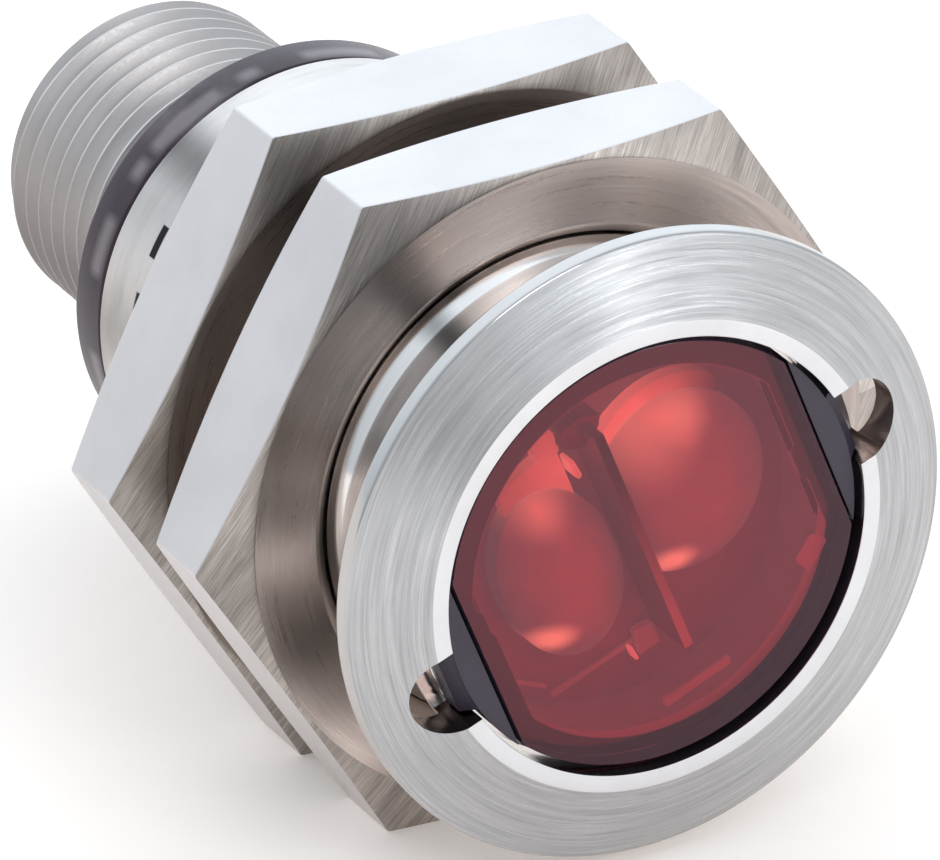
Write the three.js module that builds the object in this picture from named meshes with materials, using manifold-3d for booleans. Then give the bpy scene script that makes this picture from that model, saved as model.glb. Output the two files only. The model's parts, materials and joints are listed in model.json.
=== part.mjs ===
// Cylindrical M18 photoelectric sensor with a flush-mount front flange, two hexagon nuts,
// an indicator ring and an M12 connector. Millimetres, +Z up, the sensor's axis along Y.
// Depths are measured along +Y from the front face; the origin is halfway along the axis.
import * as THREE from "three";
import { mergeVertices } from "three/addons/utils/BufferGeometryUtils.js";
import Module from "manifold-3d";

const wasm = await Module();
wasm.setup();

// ---- driving dimensions (millimetres, degrees) ----
const LENGTH = 37.8;
const OPTICS_TURN = 20;            // the lens axis is turned by this much above the horizontal
const ROUND = 64;                  // facets on the barrel
const MEDIUM_ROUND = 48;           // facets on the rings, seals and connector
const SMALL_ROUND = 16;            // facets on pins and other small round parts

const THREAD_R = 8.97;             // M18x1, outer radius
const COLLAR_R = 8.49;             // plain collar behind the thread
const BARREL_BORE_R = 7.55;
const BARREL_END = 24.6;
const THREAD_END = 20.7;

const FLANGE_R = 11.52;
const FACE_RING_R = 8.65;          // outer radius of the flat ring around the window
const RECESS_R = 8.06;             // bore that the window sits in
const RECESS_DEPTH = 2.9;
const RIM_FRONT = 0.9;
const FLANGE_BACK = 1.56;
const NOTCH_HALF_WIDTH = 1.5;
const NOTCH_CENTRE_R = 8.5;
const NOTCH_DEPTH = 2.4;

const NUT_ACROSS_FLATS = 24;
const NUT_THICKNESS = 4;
const NUT_CHAMFER = 0.56;          // axial size of the chamfer at a corner
const NUT_BORE_R = 9.03;
const NUT_MOUTH_R = 9.46;          // countersink around the nut's thread
const FRONT_NUT_DEPTH = 6.63;
const REAR_NUT_DEPTH = 12.95;

const WINDOW_R = 7.8;
const WINDOW_FLAT = 6.9;           // half width across the two flats
const WINDOW_FRONT = 0.3;
const WINDOW_BACK = 1.1;
const SEAL_BAND = 0.75;
const SEAT_DEPTH = 1.4;            // ledge of the front housing that carries the window
const HOUSING_FRONT = 0.42;
const HOUSING_HEAD_R = 7.9;
const HOUSING_HEAD_BACK = 2.4;
const HOUSING_R = 7.45;
const HOUSING_BORE_R = 6.95;
const HOUSING_BACK = 9.3;
const LUG_R = 8.3;
const LUG_HALF_WIDTH = 1.38;

const EMITTER_X = -2.4;
const EMITTER_LENS_R = 3.1;
const EMITTER_HALF_WIDTH = 1.95;
const RECEIVER_X = 2.6;
const RECEIVER_LENS_R = 3.5;
const RECEIVER_INNER_X = 0.45;
const LENS_APEX = 1.35;
const LENS_EDGE = 2.6;
const LENS_BACK = 3.4;
const CARRIER_R = 6.85;
const CARRIER_FRONT = 3.5;
const CARRIER_BACK = 8.0;
const LED_SIZE = 1.6;
const LED_FRONT = 7.55;
const LED_DOME_R = 0.6;
const LED_DOME_HEIGHT = 0.5;
const RECEIVER_CHIP_SIZE = 2.4;
const RECEIVER_CHIP_FRONT = 7.4;
const BARRIER_WIDTH = 0.4;
const BARRIER_LOW = -4.35;
const BARRIER_HIGH = 5.2;

const BOARD_THICKNESS = 0.8;
const OPTICS_BOARD_DEPTH = 8.1;
const OPTICS_BOARD_BACK = OPTICS_BOARD_DEPTH + BOARD_THICKNESS;
const OPTICS_BOARD_R = 6.6;
const MAIN_BOARD_FRONT = 9.5;
const MAIN_BOARD_BACK = 19.0;
const MAIN_BOARD_HALF_WIDTH = 6.2;
const REAR_BOARD_DEPTH = 19.1;
const REAR_BOARD_R = 7.3;

const RING_R = 8.4;
const RING_FRONT = 24.75;
const RING_BACK = 26.77;
const SLEEVE_FRONT = 20.7;
const SLEEVE_R = 7.45;
const SLEEVE_BORE_R = 6.4;
const GROOVE_HALF = 0.4;             // half width of the seal grooves
const SLEEVE_GROOVE = 22.6;
const SLEEVE_GROOVE_DEEP = 0.5;
const STEM_GROOVE = 23.3;
const STEM_GROOVE_DEEP = 0.6;

const STEM_R = 6.3;
const STEM_FRONT = 21.5;
const STEM_BACK = 27.9;
const M12_R = 5.93;
const M12_ROOT_R = 5.3;
const M12_FRONT = 29.2;
const SHELL_BORE_R = 4.35;
const INSERT_R = 4.28;
const INSERT_FRONT = 24.6;
const INSERT_BACK = 29.6;
const KEY_END = 36.4;
const PIN_R = 0.5;
const PIN_CIRCLE_R = 2.5;
const PIN_FRONT = 20.1;
const PIN_END = 36.5;
const PIN_COUNT = 4;
const LED_CIRCLE_R = 6.85;
const LED_COUNT = 4;

const FRONT_SEAL = { radius: 7.8, section: 0.18, depth: 2.65 };
const BARREL_SEAL = { radius: 7.22, section: 0.25, depth: SLEEVE_GROOVE };
const CONNECTOR_SEAL = { radius: 6.02, section: 0.3, depth: STEM_GROOVE };

// ---- materials ----
const STEEL = { color: 0xc9c9cc, roughness: 0.32, metalness: 1.0 };
const SATIN_STEEL = { color: 0xb6b5b8, roughness: 0.5, metalness: 0.9 };
const BLACK_PLASTIC = { color: 0x2a242c, roughness: 0.55, metalness: 0.0 };
const RED_WINDOW = { color: 0xa0303a, roughness: 0.1, metalness: 0.0 };
const LENS_PLASTIC = { color: 0xd8a0a0, roughness: 0.08, metalness: 0.0 };
const SMOKY_PLASTIC = { color: 0x5f585f, roughness: 0.25, metalness: 0.0 };
const SEAL_RUBBER = { color: 0x1b191c, roughness: 0.8, metalness: 0.0 };
const BOARD_GREEN = { color: 0x1e5a38, roughness: 0.6, metalness: 0.0 };
const CHIP_BLACK = { color: 0x222222, roughness: 0.5, metalness: 0.0 };
const GOLD = { color: 0xd6b25a, roughness: 0.25, metalness: 1.0 };
const LED_CLEAR = { color: 0xe8e4d8, roughness: 0.2, metalness: 0.0 };
const CAPACITOR_TAN = { color: 0xa98a62, roughness: 0.5, metalness: 0.0 };

// ---- helpers ----
function atDepth(depth) {
  return depth - LENGTH / 2;
}

function ringArea(points) {
  let area = 0;
  points.forEach((p, i) => {
    const q = points[(i + 1) % points.length];
    area += p[0] * q[1] - q[0] * p[1];
  });
  return area / 2;
}

// A turned solid around the Y axis from [radius, depth] points; the outline closes on itself.
function turned(points, facets = ROUND) {
  const ordered = ringArea(points) > 0 ? points : [...points].reverse();
  const outline = [...ordered, ordered[0]].map(([r, depth]) => new THREE.Vector2(r, atDepth(depth)));
  return new THREE.LatheGeometry(outline, facets);
}

// The same for a solid without a bore: the outline starts and ends on the axis.
function turnedSolid(points, facets = SMALL_ROUND) {
  const outline = points.map(([r, depth]) => new THREE.Vector2(r, atDepth(depth)));
  return new THREE.LatheGeometry(outline, facets);
}

// A flat outline in X and Z, given its thickness from one depth to another.
function plate(shape, from, to, curveSegments = 16) {
  const options = { depth: to - from, bevelEnabled: false, curveSegments };
  const geometry = new THREE.ExtrudeGeometry(shape, options);
  geometry.rotateX(Math.PI / 2);
  geometry.translate(0, atDepth(to), 0);
  return geometry;
}

function block(width, height, from, to, x = 0, z = 0) {
  const geometry = new THREE.BoxGeometry(width, to - from, height);
  geometry.translate(x, atDepth((from + to) / 2), z);
  return geometry;
}

function dropFlatTriangles(indices) {
  const kept = [];
  for (let i = 0; i < indices.length; i += 3) {
    const [a, b, c] = [indices[i], indices[i + 1], indices[i + 2]];
    if (a !== b && b !== c && c !== a) {
      kept.push(a, b, c);
    }
  }
  return new Uint32Array(kept);
}

function toSolid(geometry) {
  const bare = geometry.clone();
  bare.deleteAttribute("normal");
  bare.deleteAttribute("uv");
  const merged = mergeVertices(bare, 1e-4);
  const vertProperties = new Float32Array(merged.attributes.position.array);
  const triVerts = dropFlatTriangles(merged.index.array);
  return new wasm.Manifold(new wasm.Mesh({ numProp: 3, vertProperties, triVerts }));
}

function toGeometry(solid) {
  const mesh = solid.getMesh();
  const geometry = new THREE.BufferGeometry();
  geometry.setAttribute("position", new THREE.BufferAttribute(mesh.vertProperties, 3));
  geometry.setIndex(new THREE.BufferAttribute(mesh.triVerts, 1));
  geometry.computeVertexNormals();
  return geometry;
}

function cut(base, ...tools) {
  return toGeometry(tools.reduce((solid, tool) => solid.subtract(toSolid(tool)), toSolid(base)));
}

function join(base, ...additions) {
  return toGeometry(additions.reduce((solid, extra) => solid.add(toSolid(extra)), toSolid(base)));
}

function common(a, b) {
  return toGeometry(toSolid(a).intersect(toSolid(b)));
}

function part(name, geometry, finish) {
  const mesh = new THREE.Mesh(geometry, new THREE.MeshStandardMaterial(finish));
  mesh.name = name;
  return mesh;
}

// ---- outlines ----
// A circle with a flat on each side, as the window has.
function flattedCircle(radius, flat) {
  const half = Math.acos(flat / radius);
  const shape = new THREE.Shape();
  shape.absarc(0, 0, radius, half, Math.PI - half, false);
  shape.absarc(0, 0, radius, Math.PI + half, -half, false);
  shape.closePath();
  return shape;
}

// The piece of a circle beyond a flat, on the right (side 1) or the left (side -1).
function circleSegment(radius, flat, side) {
  const half = Math.acos(flat / radius);
  const middle = side > 0 ? 0 : Math.PI;
  const shape = new THREE.Shape();
  shape.absarc(0, 0, radius, middle - half, middle + half, false);
  shape.closePath();
  return shape;
}

function rectangle(x0, x1, z0, z1) {
  const shape = new THREE.Shape();
  shape.moveTo(x0, z0);
  shape.lineTo(x1, z0);
  shape.lineTo(x1, z1);
  shape.lineTo(x0, z1);
  shape.closePath();
  return shape;
}

function circle(radius, x = 0, z = 0) {
  const shape = new THREE.Shape();
  shape.absarc(x, z, radius, 0, 2 * Math.PI, false);
  return shape;
}

// A spanner notch: a slot from inside the bore to a round end in the flange.
function notchOutline(side) {
  const start = side > 0 ? -Math.PI / 2 : Math.PI / 2;
  const shape = new THREE.Shape();
  shape.moveTo(side * HOUSING_BORE_R, -side * NOTCH_HALF_WIDTH);
  shape.lineTo(side * NOTCH_CENTRE_R, -side * NOTCH_HALF_WIDTH);
  shape.absarc(side * NOTCH_CENTRE_R, 0, NOTCH_HALF_WIDTH, start, start + Math.PI, false);
  shape.lineTo(side * HOUSING_BORE_R, side * NOTCH_HALF_WIDTH);
  shape.closePath();
  return shape;
}

// ---- metal housing ----
function flangedBarrel() {
  const edge = 0.1;
  const body = turned([
    [RECESS_R, 0],
    [FACE_RING_R, 0],
    [FLANGE_R, RIM_FRONT],
    [FLANGE_R, FLANGE_BACK - edge],
    [FLANGE_R - edge, FLANGE_BACK],
    [THREAD_R, FLANGE_BACK],
    [THREAD_R, THREAD_END],
    [COLLAR_R, THREAD_END + THREAD_R - COLLAR_R],
    [COLLAR_R, BARREL_END - edge],
    [COLLAR_R - edge, BARREL_END],
    [BARREL_BORE_R, BARREL_END],
    [BARREL_BORE_R, RECESS_DEPTH],
    [RECESS_R, RECESS_DEPTH],
  ]);
  const notches = [1, -1].map((side) => plate(notchOutline(side), -1, NOTCH_DEPTH));
  return cut(body, ...notches);
}

function hexNut(front) {
  const back = front + NUT_THICKNESS;
  const flat = NUT_ACROSS_FLATS / 2;
  const corner = flat / Math.cos(Math.PI / 6);
  const hexagon = new THREE.Shape();
  for (let i = 0; i < 6; i += 1) {
    const angle = (i * Math.PI) / 3;
    const step = i === 0 ? "moveTo" : "lineTo";
    hexagon[step](corner * Math.cos(angle), corner * Math.sin(angle));
  }
  hexagon.closePath();
  const mouth = NUT_MOUTH_R - NUT_BORE_R;
  const ringBody = turned([
    [NUT_MOUTH_R, front],
    [flat, front],
    [corner, front + NUT_CHAMFER],
    [corner + 1, front + NUT_CHAMFER],
    [corner + 1, back - NUT_CHAMFER],
    [corner, back - NUT_CHAMFER],
    [flat, back],
    [NUT_MOUTH_R, back],
    [NUT_BORE_R, back - mouth],
    [NUT_BORE_R, front + mouth],
  ]);
  return common(plate(hexagon, front - 1, back + 1), ringBody);
}

// ---- front optics ----
function frontWindow() {
  return plate(flattedCircle(WINDOW_R, WINDOW_FLAT), WINDOW_FRONT, WINDOW_BACK, 24);
}

function windowSeal() {
  const outer = flattedCircle(HOUSING_HEAD_R - 0.1, WINDOW_FLAT);
  outer.holes.push(flattedCircle(WINDOW_R - SEAL_BAND, WINDOW_FLAT - SEAL_BAND));
  return plate(outer, WINDOW_BACK + 0.05, SEAT_DEPTH - 0.05);
}

function frontHousing() {
  const sleeve = turned([
    [HOUSING_BORE_R, SEAT_DEPTH],
    [HOUSING_HEAD_R, SEAT_DEPTH],
    [HOUSING_HEAD_R, HOUSING_HEAD_BACK],
    [HOUSING_R, HOUSING_HEAD_BACK],
    [HOUSING_R, HOUSING_BACK],
    [HOUSING_BORE_R, HOUSING_BACK],
  ]);
  const additions = [1, -1].flatMap((side) => [
    plate(circleSegment(HOUSING_HEAD_R, WINDOW_FLAT + 0.12, side), HOUSING_FRONT, SEAT_DEPTH + 0.2),
    lug(side),
  ]);
  return join(sleeve, ...additions);
}

// A key that fills the inner end of a spanner notch, with a chamfered outer edge.
function lug(side) {
  const inner = HOUSING_HEAD_R - 0.6;
  const chamfer = 0.5;
  const profile = new THREE.Shape();
  profile.moveTo(inner, HOUSING_FRONT);
  profile.lineTo(LUG_R - chamfer, HOUSING_FRONT);
  profile.lineTo(LUG_R, HOUSING_FRONT + chamfer);
  profile.lineTo(LUG_R, HOUSING_HEAD_BACK - 0.1);
  profile.lineTo(inner, HOUSING_HEAD_BACK - 0.1);
  profile.closePath();
  const options = { depth: 2 * LUG_HALF_WIDTH, bevelEnabled: false };
  const geometry = new THREE.ExtrudeGeometry(profile, options);
  geometry.translate(0, -LENGTH / 2, -LUG_HALF_WIDTH);
  if (side < 0) {
    geometry.rotateY(Math.PI);
  }
  return geometry;
}

// A lens: a thick disc with a domed front, its sides cut flat at x0 and x1.
function lens(centreX, radius, x0, x1) {
  const points = [[0, LENS_APEX]];
  const sag = LENS_EDGE - LENS_APEX;
  const sphere = (radius * radius + sag * sag) / (2 * sag);
  const steps = 7;
  for (let i = 1; i <= steps; i += 1) {
    const r = (radius * i) / steps;
    points.push([r, LENS_APEX + sphere - Math.sqrt(sphere * sphere - r * r)]);
  }
  points.push([radius, LENS_BACK], [0, LENS_BACK]);
  const dome = turnedSolid(points, MEDIUM_ROUND);
  dome.translate(centreX, 0, 0);
  return common(dome, plate(rectangle(x0, x1, -radius - 1, radius + 1), LENS_APEX - 1, LENS_BACK + 1));
}

function emitterLens() {
  const x0 = EMITTER_X - EMITTER_HALF_WIDTH;
  return lens(EMITTER_X, EMITTER_LENS_R, x0, EMITTER_X + EMITTER_HALF_WIDTH);
}

function receiverLens() {
  return lens(RECEIVER_X, RECEIVER_LENS_R, RECEIVER_INNER_X, RECEIVER_X + RECEIVER_LENS_R + 1);
}

function opticsCarrier() {
  const disc = circle(CARRIER_R);
  disc.holes.push(circle(EMITTER_HALF_WIDTH - 0.35, EMITTER_X, 0));
  disc.holes.push(circle(RECEIVER_X - RECEIVER_INNER_X - 0.2, RECEIVER_X + 0.2, 0));
  return plate(disc, CARRIER_FRONT, CARRIER_BACK, 24);
}

function lightBarrier() {
  const height = BARRIER_HIGH - BARRIER_LOW;
  const middle = (BARRIER_HIGH + BARRIER_LOW) / 2;
  return block(BARRIER_WIDTH, height, WINDOW_BACK + 0.1, CARRIER_FRONT - 0.05, 0, middle);
}

function emitterLed() {
  const body = block(LED_SIZE, LED_SIZE, LED_FRONT, OPTICS_BOARD_DEPTH - 0.05, EMITTER_X, 0);
  const top = LED_FRONT - LED_DOME_HEIGHT;
  const dome = turnedSolid([
    [0, top],
    [LED_DOME_R * 0.6, top + LED_DOME_HEIGHT * 0.16],
    [LED_DOME_R * 0.9, top + LED_DOME_HEIGHT * 0.5],
    [LED_DOME_R, LED_FRONT + 0.15],
    [0, LED_FRONT + 0.15],
  ]);
  dome.translate(EMITTER_X, 0, 0);
  return join(body, dome);
}

function receiverChip() {
  const back = OPTICS_BOARD_DEPTH - 0.05;
  return block(RECEIVER_CHIP_SIZE, RECEIVER_CHIP_SIZE, RECEIVER_CHIP_FRONT, back, RECEIVER_X, 0);
}

function opticsBoard() {
  return plate(circle(OPTICS_BOARD_R), OPTICS_BOARD_DEPTH, OPTICS_BOARD_BACK);
}

// ---- electronics ----
function mainBoard() {
  const width = 2 * MAIN_BOARD_HALF_WIDTH;
  return block(width, BOARD_THICKNESS, MAIN_BOARD_FRONT, MAIN_BOARD_BACK);
}

// A component on the main board's upper (side 1) or lower (side -1) face; size is [x, y, z].
function onMainBoard([width, length, height], depth, x, side) {
  const z = side * (BOARD_THICKNESS / 2 + 0.05 + height / 2);
  return block(width, height, depth, depth + length, x, z);
}

function rearBoard() {
  return plate(circle(REAR_BOARD_R), REAR_BOARD_DEPTH, REAR_BOARD_DEPTH + BOARD_THICKNESS);
}

function indicatorLed(angle) {
  const geometry = new THREE.BoxGeometry(0.7, 0.45, 1.2);
  geometry.translate(LED_CIRCLE_R, atDepth(REAR_BOARD_DEPTH + BOARD_THICKNESS + 0.3), 0);
  geometry.rotateY(angle);
  return geometry;
}

// ---- seals ----
function sealRing({ radius, section, depth }) {
  const sides = 6;
  const points = [];
  for (let i = 0; i < sides; i += 1) {
    const angle = (2 * Math.PI * i) / sides;
    points.push([radius + section * Math.cos(angle), depth + section * Math.sin(angle)]);
  }
  return turned(points, MEDIUM_ROUND);
}

// ---- rear end ----
function indicatorRing() {
  const edge = 0.15;
  return turned([
    [SLEEVE_BORE_R, SLEEVE_FRONT],
    [SLEEVE_R, SLEEVE_FRONT],
    [SLEEVE_R, SLEEVE_GROOVE - GROOVE_HALF],
    [SLEEVE_R - SLEEVE_GROOVE_DEEP, SLEEVE_GROOVE - GROOVE_HALF],
    [SLEEVE_R - SLEEVE_GROOVE_DEEP, SLEEVE_GROOVE + GROOVE_HALF],
    [SLEEVE_R, SLEEVE_GROOVE + GROOVE_HALF],
    [SLEEVE_R, RING_FRONT],
    [RING_R - edge, RING_FRONT],
    [RING_R, RING_FRONT + edge],
    [RING_R, RING_BACK - edge],
    [RING_R - edge, RING_BACK],
    [SLEEVE_BORE_R, RING_BACK],
  ], MEDIUM_ROUND);
}

function connectorShell() {
  return turned([
    [SHELL_BORE_R, STEM_FRONT],
    [STEM_R, STEM_FRONT],
    [STEM_R, STEM_GROOVE - GROOVE_HALF],
    [STEM_R - STEM_GROOVE_DEEP, STEM_GROOVE - GROOVE_HALF],
    [STEM_R - STEM_GROOVE_DEEP, STEM_GROOVE + GROOVE_HALF],
    [STEM_R, STEM_GROOVE + GROOVE_HALF],
    [STEM_R, STEM_BACK - 0.2],
    [STEM_R - 0.2, STEM_BACK],
    [M12_ROOT_R, STEM_BACK],
    [M12_ROOT_R, M12_FRONT - 0.4],
    [M12_R, M12_FRONT],
    [M12_R, LENGTH - 0.5],
    [M12_R - 0.4, LENGTH],
    [SHELL_BORE_R, LENGTH],
  ], MEDIUM_ROUND);
}

function connectorInsert() {
  const disc = circle(INSERT_R);
  for (let i = 0; i < PIN_COUNT; i += 1) {
    const [x, z] = pinPlace(i);
    disc.holes.push(circle(PIN_R + 0.05, x, z));
  }
  const base = plate(disc, INSERT_FRONT, INSERT_BACK);
  const key = block(0.9, 0.6, INSERT_BACK - 0.5, KEY_END, 0, INSERT_R - 0.35);
  return join(base, key);
}

function pinPlace(i) {
  const angle = Math.PI / 4 + (2 * Math.PI * i) / PIN_COUNT;
  return [PIN_CIRCLE_R * Math.cos(angle), PIN_CIRCLE_R * Math.sin(angle)];
}

function contactPin(i) {
  const [x, z] = pinPlace(i);
  const tip = 0.45;
  const geometry = turnedSolid([
    [0, PIN_FRONT],
    [PIN_R, PIN_FRONT],
    [PIN_R, PIN_END - tip],
    [PIN_R * 0.8, PIN_END - tip / 3],
    [PIN_R * 0.4, PIN_END],
    [0, PIN_END],
  ]);
  geometry.translate(x, 0, z);
  return geometry;
}

// ---- assembly ----
const sensor = new THREE.Group();

const opticsHead = new THREE.Group();
opticsHead.rotation.y = THREE.MathUtils.degToRad(-OPTICS_TURN);
sensor.add(opticsHead);

opticsHead.add(part("flanged_barrel", flangedBarrel(), STEEL));
opticsHead.add(part("front_housing", frontHousing(), BLACK_PLASTIC));
opticsHead.add(part("front_window", frontWindow(), RED_WINDOW));
opticsHead.add(part("window_seal", windowSeal(), SEAL_RUBBER));
opticsHead.add(part("emitter_lens", emitterLens(), LENS_PLASTIC));
opticsHead.add(part("receiver_lens", receiverLens(), LENS_PLASTIC));
opticsHead.add(part("light_barrier", lightBarrier(), BLACK_PLASTIC));
opticsHead.add(part("optics_carrier", opticsCarrier(), BLACK_PLASTIC));
opticsHead.add(part("emitter_led", emitterLed(), LED_CLEAR));
opticsHead.add(part("receiver_chip", receiverChip(), CHIP_BLACK));
opticsHead.add(part("optics_board", opticsBoard(), BOARD_GREEN));

sensor.add(part("front_nut", hexNut(FRONT_NUT_DEPTH), STEEL));
sensor.add(part("rear_nut", hexNut(REAR_NUT_DEPTH), STEEL));

sensor.add(part("main_board", mainBoard(), BOARD_GREEN));
sensor.add(part("board_link", onMainBoard([6, 2, 1.6], OPTICS_BOARD_BACK + 0.1, 0, 1), CHIP_BLACK));
sensor.add(part("evaluation_chip", onMainBoard([4, 4, 0.9], 12, -1.5, 1), CHIP_BLACK));
sensor.add(part("output_driver", onMainBoard([3, 2.5, 0.8], 16.2, 3, 1), CHIP_BLACK));
sensor.add(part("filter_capacitor_1", onMainBoard([2.5, 1.4, 1.3], 11.5, 3, -1), CAPACITOR_TAN));
sensor.add(part("filter_capacitor_2", onMainBoard([2.5, 1.4, 1.3], 15, -2, -1), CAPACITOR_TAN));
sensor.add(part("rear_board", rearBoard(), BOARD_GREEN));
for (let i = 0; i < LED_COUNT; i += 1) {
  const angle = (2 * Math.PI * (i + 0.5)) / LED_COUNT;
  sensor.add(part(`indicator_led_${i + 1}`, indicatorLed(angle), LED_CLEAR));
}

sensor.add(part("indicator_ring", indicatorRing(), SMOKY_PLASTIC));
sensor.add(part("connector_shell", connectorShell(), SATIN_STEEL));
sensor.add(part("connector_insert", connectorInsert(), BLACK_PLASTIC));
for (let i = 0; i < PIN_COUNT; i += 1) {
  sensor.add(part(`contact_pin_${i + 1}`, contactPin(i), GOLD));
}

sensor.add(part("front_seal", sealRing(FRONT_SEAL), SEAL_RUBBER));
sensor.add(part("barrel_seal", sealRing(BARREL_SEAL), SEAL_RUBBER));
sensor.add(part("connector_seal", sealRing(CONNECTOR_SEAL), SEAL_RUBBER));

export default sensor;
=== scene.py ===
"""Looks for the M18 photoelectric sensor: fine meshes, procedural materials, lights and camera.

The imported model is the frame. Lengths below are in millimetres and are turned into metres by MM.
Depths run along +Y from the sensor's front face. Angles in the XZ plane run from +X towards +Z.
"""

import json
import math

import bmesh
import bpy
import numpy as np
from mathutils import Matrix, Vector

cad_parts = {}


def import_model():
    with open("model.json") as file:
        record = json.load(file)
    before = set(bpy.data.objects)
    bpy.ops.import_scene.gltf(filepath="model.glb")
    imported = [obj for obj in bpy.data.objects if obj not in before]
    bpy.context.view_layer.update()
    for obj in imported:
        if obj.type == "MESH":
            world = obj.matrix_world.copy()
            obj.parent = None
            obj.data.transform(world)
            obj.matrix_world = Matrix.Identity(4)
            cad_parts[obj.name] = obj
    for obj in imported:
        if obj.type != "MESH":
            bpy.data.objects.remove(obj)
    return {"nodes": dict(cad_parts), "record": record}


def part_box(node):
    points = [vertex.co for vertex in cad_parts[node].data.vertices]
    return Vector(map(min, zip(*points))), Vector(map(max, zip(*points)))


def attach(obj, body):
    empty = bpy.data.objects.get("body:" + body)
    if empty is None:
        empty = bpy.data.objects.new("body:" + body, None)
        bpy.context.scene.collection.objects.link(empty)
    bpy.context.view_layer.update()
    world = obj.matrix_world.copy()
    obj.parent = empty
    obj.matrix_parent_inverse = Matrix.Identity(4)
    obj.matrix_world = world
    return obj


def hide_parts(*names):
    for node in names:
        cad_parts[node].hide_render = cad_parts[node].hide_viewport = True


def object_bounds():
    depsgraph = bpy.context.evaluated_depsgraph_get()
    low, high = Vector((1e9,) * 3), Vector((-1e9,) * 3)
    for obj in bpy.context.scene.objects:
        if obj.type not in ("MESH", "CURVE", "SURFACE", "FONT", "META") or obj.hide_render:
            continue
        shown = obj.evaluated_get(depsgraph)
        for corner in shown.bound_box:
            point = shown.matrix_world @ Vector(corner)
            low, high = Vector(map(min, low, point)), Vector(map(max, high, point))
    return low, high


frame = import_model()
cad_low, cad_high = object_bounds()

MM = 0.001
TURN = math.radians(20)            # how far the lenses and notches are turned about the axis
FRONT_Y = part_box("flanged_barrel")[0].y


def edges(node):
    """Where a CAD node starts and ends behind the front face, and its radius, in millimetres."""
    low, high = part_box(node)
    return (low.y - FRONT_Y) / MM, (high.y - FRONT_Y) / MM, (high.z - low.z) / 2 / MM


# ---------------------------------------------------------------- mesh helpers
def metres(a, depth, b, turn=0.0):
    """Points from right, depth and up in millimetres, turned about the axis, in metres."""
    c, s = math.cos(turn), math.sin(turn)
    return np.stack([(a * c - b * s) * MM, FRONT_Y + depth * MM, (a * s + b * c) * MM], -1)


def fillet(points, steps=3):
    """Rounds the corners of a closed outline of (r, depth, size) points."""
    out = []
    count = len(points)
    for i, (r, d, size) in enumerate(points):
        here = np.array([r, d])
        if size <= 0:
            out.append(here)
            continue
        before = np.array(points[i - 1][:2]) - here
        after = np.array(points[(i + 1) % count][:2]) - here
        start = here + before * min(0.45, size / max(np.linalg.norm(before), 1e-9))
        end = here + after * min(0.45, size / max(np.linalg.norm(after), 1e-9))
        for t in np.linspace(0, 1, steps + 1):
            out.append((1 - t) ** 2 * start + 2 * t * (1 - t) * here + t * t * end)
    return np.array(out)


def round_rows(outline, columns):
    """Rows of points round the axis for an outline of (r, depth); the last point of a row is its first."""
    angle = np.linspace(0, 2 * math.pi, columns + 1)
    r, d = outline[:, :1], outline[:, 1:]
    return metres(r * np.cos(angle), d + 0 * angle, r * np.sin(angle))


# One pitch of a thread: how far along the pitch, and how high between root and crest.
THREAD_STEPS = ((0.0, 0.92), (0.03, 1), (0.13, 1), (0.17, 0.92),
                (0.49, 0.05), (0.54, 0), (0.61, 0), (0.66, 0.05))


def thread_rows(start, end, crest, depth, pitch, columns, runout):
    """Rows of a right-hand thread between two depths, running out to its root at both ends.

    A row ends where the row one turn further on begins.
    """
    angle = np.linspace(0, 2 * math.pi, columns + 1)
    turns = int(math.ceil((end - start) / pitch)) + 2
    rows = []
    for k in range(-1, turns):
        for phase, height in THREAD_STEPS:
            d = start + (k + phase + angle / (2 * math.pi)) * pitch
            r = crest - depth * (1 - height) + 0 * d
            near = np.minimum(d - start, end - d)
            limit = crest - depth + np.clip(near / runout, 0, 1) * depth
            d = np.clip(d, start, end)
            rows.append(metres(np.minimum(r, limit) * np.cos(angle), d, np.minimum(r, limit) * np.sin(angle)))
    return np.array(rows)


SMOOTH_BELOW = 30.0                # degrees between two faces that are still shaded as one


def mesh_object(name, rows, faces, body="sensor", sharp=SMOOTH_BELOW):
    mesh = bpy.data.meshes.new(name)
    mesh.from_pydata(rows.reshape(-1, 3).tolist(), [], faces)
    tidy(mesh, sharp)
    return placed(name, mesh, body)


def placed(name, mesh, body):
    """An object for the mesh, riding on a body, with each large face keeping its own normal."""
    obj = bpy.data.objects.new(name, mesh)
    bpy.context.scene.collection.objects.link(obj)
    weighted = obj.modifiers.new("weighted", "WEIGHTED_NORMAL")
    weighted.keep_sharp = True
    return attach(obj, body)


def paint(obj, *materials, choose=None):
    """Gives the materials to the mesh; choose(radius, depth, normal) picks one for each face."""
    obj.data.materials.clear()
    for kind in materials:
        obj.data.materials.append(kind.material)
    if choose:
        for face in obj.data.polygons:
            x, y, z = face.center
            face.material_index = choose(math.hypot(x, z) / MM, (y - FRONT_Y) / MM, face.normal)


def tidy(mesh, sharp):
    """Merges doubles, turns the faces outwards and shades smooth between sharp edges."""
    bm = bmesh.new()
    bm.from_mesh(mesh)
    bmesh.ops.remove_doubles(bm, verts=bm.verts, dist=2e-7)
    bmesh.ops.dissolve_degenerate(bm, dist=1e-8, edges=bm.edges)
    bmesh.ops.recalc_face_normals(bm, faces=bm.faces)
    limit = math.radians(sharp)
    for face in bm.faces:
        face.smooth = True
    for edge in bm.edges:
        edge.smooth = len(edge.link_faces) != 2 or edge.calc_face_angle(0) < limit
    bm.to_mesh(mesh)
    bm.free()


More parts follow.
